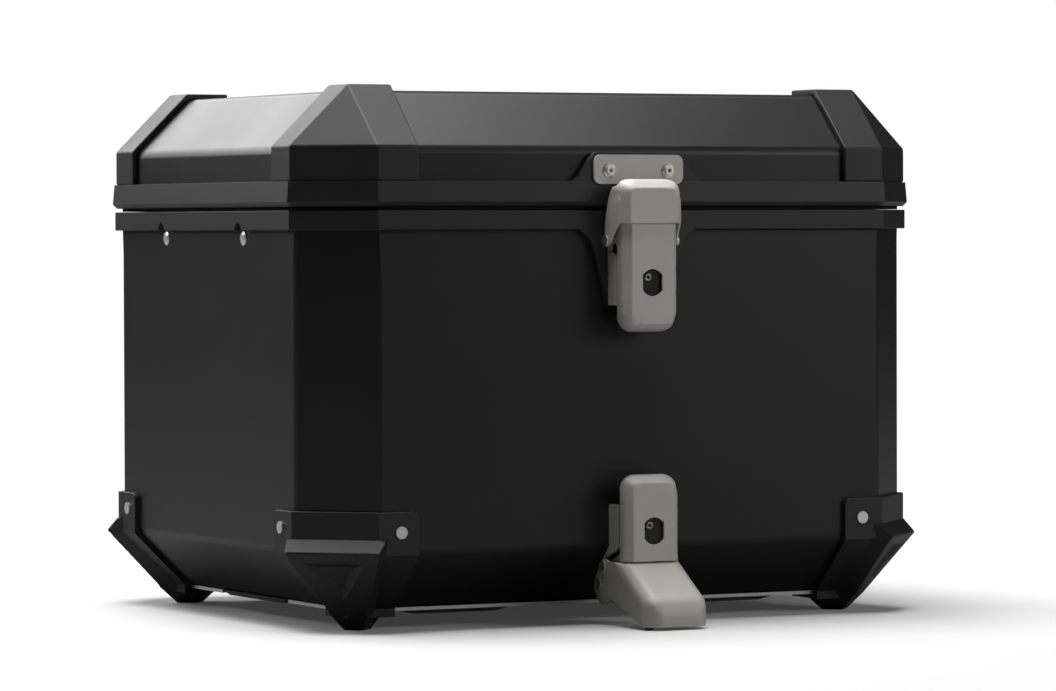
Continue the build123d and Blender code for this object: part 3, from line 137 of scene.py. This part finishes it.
def noise(tree, size_mm, detail=2.0, roughness=0.5, stretch=(1.0, 1.0, 1.0)):
    """Noise on Object coordinates with features size_mm across."""
    place = add(tree, "ShaderNodeTexCoord")
    mapping = add(tree, "ShaderNodeMapping", {"Vector": place.outputs["Object"], "Scale": stretch})
    texture = add(tree, "ShaderNodeTexNoise", {
        "Vector": mapping.outputs["Vector"], "Scale": per_metre(size_mm),
        "Detail": detail, "Roughness": roughness,
    })
    return texture.outputs["Fac"]


def bump(tree, height, depth_mm, strength=1.0, normal=None):
    """A normal from a height field whose full range is depth_mm deep."""
    inputs = {"Height": height, "Distance": depth_mm * MM, "Strength": strength}
    if normal is not None:
        inputs["Normal"] = normal
    return add(tree, "ShaderNodeBump", inputs).outputs["Normal"]


# ------------------------------------------------------------------ finishes
def satin_powder_coat():
    """Black polyester powder coat baked on aluminium: satin, with faint orange peel and a little
    unevenness in its sheen, so flat walls read deep black and slopes catch a soft grey."""
    material, tree = start_material("powder_coated_aluminium_black")
    peel = noise(tree, 1.6, detail=3.0)
    cloud = noise(tree, 60.0, detail=4.0, roughness=0.6)
    shader = add(tree, "ShaderNodeBsdfPrincipled", {
        "Base Color": blend_colour(tree, cloud, "#0d0d0e", "#121213"),
        "Roughness": blend_value(tree, cloud, 0.36, 0.44),
        "Normal": bump(tree, peel, 0.02),
        "IOR": 1.5,
    })
    close_material(tree, shader.outputs["BSDF"])
    return material


def spark_textured_polyamide():
    """Black glass-filled polyamide from a spark-eroded mould: a fine even grain that scatters
    light, so it looks a shade greyer and flatter than the coated sheet beside it."""
    material, tree = start_material("moulded_polyamide_black")
    grain = noise(tree, 0.7, detail=2.0, roughness=0.7)
    cloud = noise(tree, 45.0, detail=3.0)
    shader = add(tree, "ShaderNodeBsdfPrincipled", {
        "Base Color": blend_colour(tree, cloud, "#111112", "#171718"),
        "Roughness": blend_value(tree, cloud, 0.46, 0.56),
        "Normal": bump(tree, grain, 0.05),
        "IOR": 1.53,
    })
    close_material(tree, shader.outputs["BSDF"])
    return material


def bead_blasted_stainless():
    """Stainless steel sheet, bead-blasted after folding: an even pale grey without streaks, with a
    fine frosted grain and very slight clouding from handling."""
    material, tree = start_material("bead_blasted_stainless_steel")
    grain = noise(tree, 0.45, detail=2.0, roughness=0.6)
    cloud = noise(tree, 14.0, detail=4.0, roughness=0.65)
    shader = add(tree, "ShaderNodeBsdfPrincipled", {
        "Base Color": blend_colour(tree, cloud, "#cecdca", "#dad9d6"),
        "Metallic": 1.0,
        "Roughness": blend_value(tree, cloud, 0.72, 0.82),
        "Normal": bump(tree, grain, 0.03),
    })
    close_material(tree, shader.outputs["BSDF"])
    return material


def bright_rivet_steel():
    """Stainless rivet heads, tumbled bright, with fine turned marks from the setting tool."""
    material, tree = start_material("bright_stainless_rivet")
    marks = noise(tree, 0.5, detail=3.0)
    shader = add(tree, "ShaderNodeBsdfPrincipled", {
        "Base Color": srgb("#e9e8e6"),
        "Metallic": 1.0,
        "Roughness": blend_value(tree, marks, 0.36, 0.48),
        "Normal": bump(tree, marks, 0.015),
    })
    close_material(tree, shader.outputs["BSDF"])
    return material


def zinc_plated_steel():
    """Zinc-plated steel of the hidden lock parts: pale grey, slightly clouded by passivation."""
    material, tree = start_material("zinc_plated_steel")
    cloud = noise(tree, 5.0, detail=3.0)
    shader = add(tree, "ShaderNodeBsdfPrincipled", {
        "Base Color": blend_colour(tree, cloud, "#9b9c9c", "#adadab"),
        "Metallic": 1.0,
        "Roughness": blend_value(tree, cloud, 0.34, 0.5),
    })
    close_material(tree, shader.outputs["BSDF"])
    return material


def mill_aluminium():
    """Bare rolled aluminium of the base's doubling plate: pale and streaked along the rolling."""
    material, tree = start_material("mill_finish_aluminium")
    streaks = noise(tree, 3.0, detail=3.0, stretch=(0.05, 1.0, 1.0))
    shader = add(tree, "ShaderNodeBsdfPrincipled", {
        "Base Color": blend_colour(tree, streaks, "#cfd0d1", "#dfdfde"),
        "Metallic": 1.0,
        "Roughness": blend_value(tree, streaks, 0.3, 0.45),
    })
    close_material(tree, shader.outputs["BSDF"])
    return material


def lock_black_enamel():
    """Black enamelled zinc die-casting of the lock's face: smooth, semi-gloss, a little dusty."""
    material, tree = start_material("black_enamelled_die_casting")
    dust = noise(tree, 2.5, detail=3.0)
    shader = add(tree, "ShaderNodeBsdfPrincipled", {
        "Base Color": blend_colour(tree, dust, "#101011", "#1a1a1b"),
        "Roughness": blend_value(tree, dust, 0.25, 0.4),
    })
    close_material(tree, shader.outputs["BSDF"])
    return material


def epdm_rubber():
    """Black EPDM rubber of the seal and the buffer: matt, with a soft bloom on its surface."""
    material, tree = start_material("epdm_rubber_black")
    bloom = noise(tree, 3.0, detail=3.0)
    shader = add(tree, "ShaderNodeBsdfPrincipled", {
        "Base Color": blend_colour(tree, bloom, "#0f0f0f", "#171717"),
        "Roughness": blend_value(tree, bloom, 0.7, 0.85),
        "Normal": bump(tree, bloom, 0.03),
    })
    close_material(tree, shader.outputs["BSDF"])
    return material


FINISHES = {
    "box_sheet": satin_powder_coat(),
    "lid_sheet": None,
    "moulded_black": spark_textured_polyamide(),
    "black_rubber": epdm_rubber(),
    "lock_black": lock_black_enamel(),
    "zinc_steel": zinc_plated_steel(),
    "bright_fastener": bright_rivet_steel(),
    "bare_aluminium": mill_aluminium(),
    "stainless": bead_blasted_stainless(),
}
FINISHES["lid_sheet"] = FINISHES["box_sheet"]
NODE_SLOT = {part["node"]: part["material_slot"] for part in frame["record"]["subparts"]}
NODE_BODY = {node: body for body, nodes in frame["record"]["behaviour"]["bodies"].items() for node in nodes}


# ------------------------------------------------------------------ softened pieces
def merged_copy(node, whole):
    """A node's mesh as one closed surface; with whole, its flat faces are joined again."""
    mesh = bmesh.new()
    mesh.from_mesh(NODES[node].data)
    bmesh.ops.remove_doubles(mesh, verts=mesh.verts, dist=0.002 * MM)
    if whole:
        bmesh.ops.dissolve_limit(mesh, angle_limit=radians(0.6), verts=mesh.verts, edges=mesh.edges)
    return mesh


def fold_angle(edge, inside):
    """Angle in degrees by which the surface turns at an outward fold, or 0 elsewhere."""
    if len(edge.link_faces) != 2 or not (edge.is_convex or inside):
        return 0.0
    return degrees(edge.calc_face_angle(0.0))


def settle_normals(piece, smooth_angle):
    """Smooth shading that keeps flats flat: normals follow the larger faces."""
    data = piece.data
    data.polygons.foreach_set("use_smooth", [True] * len(data.polygons))
    data.set_sharp_from_angle(angle=radians(smooth_angle))
    even = piece.modifiers.new("even_normals", "WEIGHTED_NORMAL")
    even.keep_sharp = True
    even.weight = 50
    depsgraph = bpy.context.evaluated_depsgraph_get()
    piece.data = bpy.data.meshes.new_from_object(piece.evaluated_get(depsgraph))
    piece.modifiers.clear()


def flat_normals(mesh, least_width):
    """For each face of a flat patch wider than least_width mm, the patch's normal."""
    mesh.faces.ensure_lookup_table()
    mesh.faces.index_update()
    found = {}
    seen = set()
    for start in mesh.faces:
        if start.index in seen:
            continue
        seen.add(start.index)
        patch = [start]
        for face in patch:
            for edge in face.edges:
                for other in edge.link_faces:
                    if other.index not in seen and start.normal.dot(other.normal) > 0.99995:
                        seen.add(other.index)
                        patch.append(other)
        areas = [face.calc_area() for face in patch]
        spread = max((v.co - start.verts[0].co).length for face in patch for v in face.verts)
        if sum(areas) > least_width * MM * spread:
            normal = patch[areas.index(max(areas))].normal.copy()
            found.update((face.index, normal) for face in patch)
    return found


def settled(mesh, least_width=1.8):
    """Normals for every face corner: flats stay flat and bevels run into them without a crease."""
    flats = flat_normals(mesh, least_width)
    reach = cos(radians(SMOOTH_ANGLE))
    normals = []
    for face in mesh.faces:
        for loop in face.loops:
            if face.index in flats:
                normals.append(flats[face.index])
                continue
            around = loop.vert.link_faces
            near = [flats[f.index] for f in around if f.index in flats]
            near = [flat for flat in near if flat.dot(face.normal) > reach]
            if near:
                normals.append(max(near, key=face.normal.dot))
            else:
                kin = [f for f in around if f.normal.dot(face.normal) > reach]
                mean = sum((f.normal * f.calc_area() for f in kin), Vector())
                normals.append(mean.normalized() if mean.length else face.normal.copy())
    return normals


def finish_piece(node, mesh, normals=None):
    """Makes the object that stands for a node out of its reworked mesh, shaded by the given
    corner normals or else by its larger faces."""
    data = bpy.data.meshes.new(node + "_soft")
    mesh.to_mesh(data)
    mesh.free()
    data.materials.append(FINISHES[NODE_SLOT[node]])
    piece = bpy.data.objects.new(node + "_soft", data)
    bpy.context.scene.collection.objects.link(piece)
    if normals:
        data.polygons.foreach_set("use_smooth", [True] * len(data.polygons))
        data.normals_split_custom_set(normals)
    else:
        settle_normals(piece, SMOOTH_ANGLE)
    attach(piece, NODE_BODY[node])
    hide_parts(node)
    return piece


def bevel(mesh, low, high, shortest, radius, segments, inside=False, slide=True):
    """Rounds the edges that fold by low to high degrees and are longer than shortest mm."""
    edges = [e for e in mesh.edges if low <= fold_angle(e, inside) <= high]
    edges = [e for e in edges if e.calc_length() > shortest * MM]
    made = bmesh.ops.bevel(mesh, geom=edges, offset=radius * MM, offset_type="OFFSET", segments=segments,
                           profile=0.5, affect="EDGES", clamp_overlap=True, loop_slide=slide)
    return made["faces"]


def soften(node, low, high, shortest, radius, segments, whole=True, inside=False):
    """A piece that stands for a node, with its edges rounded as bevel says."""
    mesh = merged_copy(node, whole)
    bevel(mesh, low, high, shortest, radius, segments, inside=inside, slide=whole)
    return finish_piece(node, mesh, settled(mesh))


def fold_points(mesh, low, high, wanted=None):
    """Points half a millimetre apart along the folds to be rounded; with wanted, only where it
    holds for the fold's middle in mm. Short edges across a rim's thickness are left out."""
    points = []
    for edge in mesh.edges:
        middle = (edge.verts[0].co + edge.verts[1].co) / 2
        through = all(any(fold_angle(e, True) > 72 for e in v.link_edges) for v in edge.verts)
        if through and edge.calc_length() < 2.5 * MM:
            continue
        if low <= fold_angle(edge, True) <= high and (wanted is None or wanted(middle / MM)):
            steps = max(2, int(edge.calc_length() / (0.5 * MM)))
            points += [edge.verts[0].co.lerp(edge.verts[1].co, k / steps) for k in range(steps + 1)]
    tree = KDTree(len(points))
    for k, point in enumerate(points):
        tree.insert(point, k)
    tree.balance()
    return tree


def refine(mesh, folds, reach, grain):
    """Splits the faces within reach of the folds until their edges are no longer than grain."""
    for _ in range(9):
        bmesh.ops.triangulate(mesh, faces=mesh.faces)
        long = []
        for edge in mesh.edges:
            length = edge.calc_length()
            if length > grain:
                near = min(folds.find(edge.verts[0].co.lerp(edge.verts[1].co, t))[2] for t in (0.1, 0.5, 0.9))
                if near < reach + 0.25 * length:
                    long.append(edge)
        if not long:
            return
        bmesh.ops.subdivide_edges(mesh, edges=long, cuts=1)
        bmesh.ops.dissolve_degenerate(mesh, dist=0.001 * MM, edges=mesh.edges)
    bmesh.ops.triangulate(mesh, faces=mesh.faces)


def mark_rims(mesh, sharpest, bevel_faces):
    """Marks the lines that keep their place: rims and the edges of their small bevels."""
    for edge in mesh.edges:
        edge.seam = fold_angle(edge, True) > sharpest
    for face in bevel_faces:
        for edge in face.edges:
            edge.seam = edge.seam or fold_angle(edge, True) > 12


def relax(mesh, folds, reach, rounds):
    """Draws the surface near the folds towards its neighbours' mean, round after round; marked
    rims only slide along themselves."""
    mesh.verts.ensure_lookup_table()
    mesh.verts.index_update()
    spots = np.array([v.co for v in mesh.verts])
    far = np.array([folds.find(v.co)[2] for v in mesh.verts]) / (reach * MM)
    ease = np.clip(1.5 - 1.5 * far, 0, 1)[:, None] * 0.5
    ends = np.array([[v.index for v in e.verts] for e in mesh.edges])
    rim_edges = np.array([e.seam for e in mesh.edges])
    on_rim = np.bincount(ends[rim_edges].ravel(), minlength=len(spots))
    pulls = np.concatenate([ends, ends[:, ::-1]])
    pull_on_rim = np.concatenate([rim_edges, rim_edges])
    pulls = pulls[(on_rim[pulls[:, 0]] == 0) | ((on_rim[pulls[:, 0]] == 2) & pull_on_rim)]
    count = np.bincount(pulls[:, 0], minlength=len(spots))[:, None]
    for _ in range(rounds):
        total = np.stack([np.bincount(pulls[:, 0], spots[pulls[:, 1], k], len(spots)) for k in range(3)], 1)
        spots += np.where(count > 0, total / np.maximum(count, 1) - spots, 0) * ease
    for vert, spot in zip(mesh.verts, spots):
        vert.co = spot


def press(node, rounds, reach=3.0, grain=1.5, rim=72.0):
    """A piece that stands for a node of folded sheet: its folds are drawn out into smooth bends,
    while rims keep their line and only follow the bend."""
    mesh = merged_copy(node, False)
    folds = fold_points(mesh, 4, 70)
    mark_rims(mesh, rim, bevel(mesh, rim, 130, 1.5, 0.25, 2))
    refine(mesh, folds, reach * MM, grain * MM)
    relax(mesh, folds, reach, rounds)
    return finish_piece(node, mesh)


def past_walls(spot):
    """How far in mm a spot stands outside the box's eight walls."""
    x, y = abs(spot.x), abs(spot.y - BOX_MIDDLE_Y)
    return max(x - WALL_X, y - WALL_Y, (x + y - (WALL_X + WALL_Y - WALL_CUT)) / 2 ** 0.5)


def on_wedge(spot):
    """Whether a spot of a corner protector lies on the wedge that stands out under its shelf."""
    below_bend = BEND_Z - spot.z
    out = past_walls(spot)
    past_sheet = out > PROTECTOR_THICK + 0.4
    past_slope = below_bend >= 2 and out + BASE_SLOPE * below_bend > PROTECTOR_THICK + 1.5
    return WEDGE_BOTTOM < spot.z < WEDGE_TOP and (past_sheet or past_slope)


def mould(node, rounds, reach, grain):
    """A moulded corner protector: the rims of its wings get a fine radius and the folds of its
    wedge a large soft one."""
    mesh = merged_copy(node, True)
    rims = []
    for edge in mesh.edges:
        middle = (edge.verts[0].co + edge.verts[1].co) / 2 / MM
        if edge.is_convex and 80 < fold_angle(edge, True) < 100 and middle.z > BEND_Z - 1:
            if abs(past_walls(middle) - PROTECTOR_THICK) < 0.3:
                rims.append(edge)
    bmesh.ops.bevel(mesh, geom=rims, offset=RIM_RADIUS * MM, offset_type="OFFSET", segments=3,
                    profile=0.5, affect="EDGES", clamp_overlap=False)
    folds = fold_points(mesh, 15, 100, on_wedge)
    mark_rims(mesh, 101, [])
    refine(mesh, folds, reach * MM, grain * MM)
    relax(mesh, folds, reach, rounds)
    return finish_piece(node, mesh, settled(mesh))


for node, obj in NODES.items():
    finish = FINISHES[NODE_SLOT[node]]
    obj.data.materials.clear()
    obj.data.materials.append(finish)

CORNER_NAMES = ("front_left", "front_right", "rear_left", "rear_right")
soften("body_shell", 20, 70, 20, radius=2.8, segments=4, whole=False, inside=True)
soften("lid_shell", 20, 70, 20, radius=3.5, segments=4, whole=False)
soften("body_collar", 15, 120, 3, radius=0.8, segments=2, whole=False)
soften("lid_band", 15, 120, 3, radius=0.7, segments=2, whole=False)
for corner in CORNER_NAMES:
    mould(f"corner_protector_{corner}", rounds=24, reach=3.2, grain=1.5)
    soften(f"lid_cap_{corner}", 15, 130, 2, radius=1.0, segments=2)
for latch in ("front", "rear", "rack"):
    press(f"{latch}_lever", rounds=40)
    press(f"{latch}_hook", rounds=24)


# ------------------------------------------------------------------ added pieces
def turned_piece(name, profile, centre, outward, body, slot):
    """A small turned piece: profile lists radius and height in mm, turned about the Y axis at
    centre, with its height along outward."""
    mesh = bmesh.new()
    rings = []
    for radius, height in profile:
        turns = [2 * pi * k / RING_STEPS for k in range(RING_STEPS)]
        rings.append([
            mesh.verts.new(centre + Vector((radius * cos(a), outward * height, radius * sin(a))) * MM)
            for a in turns
        ])
    for low, high in zip(rings, rings[1:] + rings[:1]):
        for k in range(RING_STEPS):
            mesh.faces.new((low[k - 1], low[k], high[k], high[k - 1]))
    bmesh.ops.recalc_face_normals(mesh, faces=mesh.faces)
    data = bpy.data.meshes.new(name)
    mesh.to_mesh(data)
    mesh.free()
    data.materials.append(FINISHES[slot])
    piece = bpy.data.objects.new(name, data)
    bpy.context.scene.collection.objects.link(piece)
    settle_normals(piece, 50.0)
    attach(piece, body)


def lock_ring(latch):
    """The plated ring pressed round the nub on a lock's face."""
    spots = np.array([v.co for v in NODES[f"{latch}_lock_core"].data.vertices])
    outward = 1 if latch == "rear" else -1
    tip = (outward * spots[:, 1]).max()
    nub = spots[outward * spots[:, 1] > tip - 0.05 * MM]
    centre = Vector((nub.min(0) + nub.max(0)) / 2) - Vector((0, outward * NUB_HEIGHT * MM, 0))
    profile = [(1.0, 0.1), (2.45, 0.1), (2.45, 0.9), (1.95, 1.45), (1.35, 1.5), (1.0, 1.15)]
    turned_piece(f"{latch}_lock_ring", profile, centre, outward, f"{latch}_lock_body", "zinc_steel")


for latch in ("front", "rear", "rack"):
    lock_ring(latch)


# ------------------------------------------------------------------ studio
def area_light(name, place, aim, size, power):
    """A soft box at place, facing aim; power in watts, size in metres."""
    lamp = bpy.data.lights.new(name, "AREA")
    lamp.shape = "RECTANGLE"
    lamp.size, lamp.size_y = size
    lamp.energy = power
    obj = bpy.data.objects.new(name, lamp)
    bpy.context.scene.collection.objects.link(obj)
    obj.location = place
    obj.rotation_euler = (Vector(aim) - Vector(place)).to_track_quat("-Z", "Y").to_euler()
    return obj


def pale_floor():
    """A plain pale floor: near the case it is lit paper that keeps the shadow, and away from it
    the camera sees it run into the white of the room. It throws little light back up."""
    mesh = bpy.data.meshes.new("floor")
    corners = [(x * FLOOR_HALF, y * FLOOR_HALF, 0) for x, y in ((-1, -1), (1, -1), (1, 1), (-1, 1))]
    mesh.from_pydata(corners, [], [(0, 1, 2, 3)])
    floor = bpy.data.objects.new("floor", mesh)
    bpy.context.scene.collection.objects.link(floor)
    material, tree = start_material("studio_paper")
    seen = add(tree, "ShaderNodeLightPath").outputs["Is Camera Ray"]
    place = add(tree, "ShaderNodeTexCoord").outputs["Object"]
    away = add(tree, "ShaderNodeVectorMath", {0: place}, operation="LENGTH").outputs["Value"]
    fade = add(tree, "ShaderNodeMapRange", {
        "Value": away, "From Min": FADE_START, "From Max": FADE_END, "To Min": SHADOW_LIFT, "To Max": 1.0,
    }).outputs["Result"]
    tone = blend_colour(tree, seen, "#9c9c9c", "#eeeeee")
    paper = add(tree, "ShaderNodeBsdfDiffuse", {"Color": tone}).outputs["BSDF"]
    white = add(tree, "ShaderNodeEmission", {"Color": srgb("#ffffff"), "Strength": 1.0}).outputs["Emission"]
    out_of_reach = add(tree, "ShaderNodeMath", {0: seen, 1: fade}, operation="MULTIPLY").outputs["Value"]
    both = add(tree, "ShaderNodeMixShader", {"Fac": out_of_reach, 1: paper, 2: white})
    close_material(tree, both.outputs["Shader"])
    mesh.materials.append(material)


def white_room():
    """The room: white where the camera sees it, nearly dark where it only lights the case."""
    world = bpy.data.worlds.new("studio")
    bpy.context.scene.world = world
    world.use_nodes = True
    tree = world.node_tree
    tree.nodes.clear()
    seen = add(tree, "ShaderNodeLightPath").outputs["Is Camera Ray"]
    level = blend_value(tree, seen, ROOM_LEVEL, 1.0)
    light = add(tree, "ShaderNodeBackground", {"Color": srgb("#ffffff"), "Strength": level})
    out = add(tree, "ShaderNodeOutputWorld")
    tree.links.new(light.outputs["Background"], out.inputs["Surface"])


def place_camera():
    """The camera: low, far away and turned to the case's left front corner."""
    yaw, pitch, roll = (radians(a) for a in (CAMERA_YAW, CAMERA_PITCH, CAMERA_ROLL))
    back = Vector((-sin(yaw) * cos(pitch), -cos(yaw) * cos(pitch), sin(pitch)))
    right = Vector((cos(yaw), -sin(yaw), 0))
    up = back.cross(right)
    aim = Vector((0, BOX_MIDDLE_Y * MM, AIM_HEIGHT)) + right * AIM_RIGHT
    tilted_right = right * cos(roll) + up * sin(roll)
    tilted_up = up * cos(roll) - right * sin(roll)
    data = bpy.data.cameras.new("camera")
    data.sensor_width = SENSOR_MM
    data.sensor_fit = "HORIZONTAL"
    data.lens = CAMERA_LENS_PIXELS * SENSOR_MM / IMAGE_WIDTH
    data.clip_end = 60
    camera = bpy.data.objects.new("camera", data)
    bpy.context.scene.collection.objects.link(camera)
    axes = Matrix((tilted_right, tilted_up, back)).transposed().to_4x4()
    camera.matrix_world = Matrix.Translation(aim + back * CAMERA_DISTANCE) @ axes
    bpy.context.scene.camera = camera


pale_floor()
white_room()
place_camera()
area_light("overhead_box", (-0.15, 0.15, 2.0), (0, 0.0, 0.2), (1.6, 1.6), 56)
area_light("back_box", (-0.2, 2.6, 1.6), (0, 0, 0.3), (1.8, 1.0), 30)
area_light("left_rear_panel", (-0.8, 0.85, 0.66), (-0.2, 0, 0.3), (0.5, 0.4), 3.6)
area_light("right_front_panel", (1.3, -1.35, 0.8), (0.05, -0.2, 0.2), (0.9, 0.8), 7.5)
bpy.context.scene.view_settings.view_transform = "Standard"
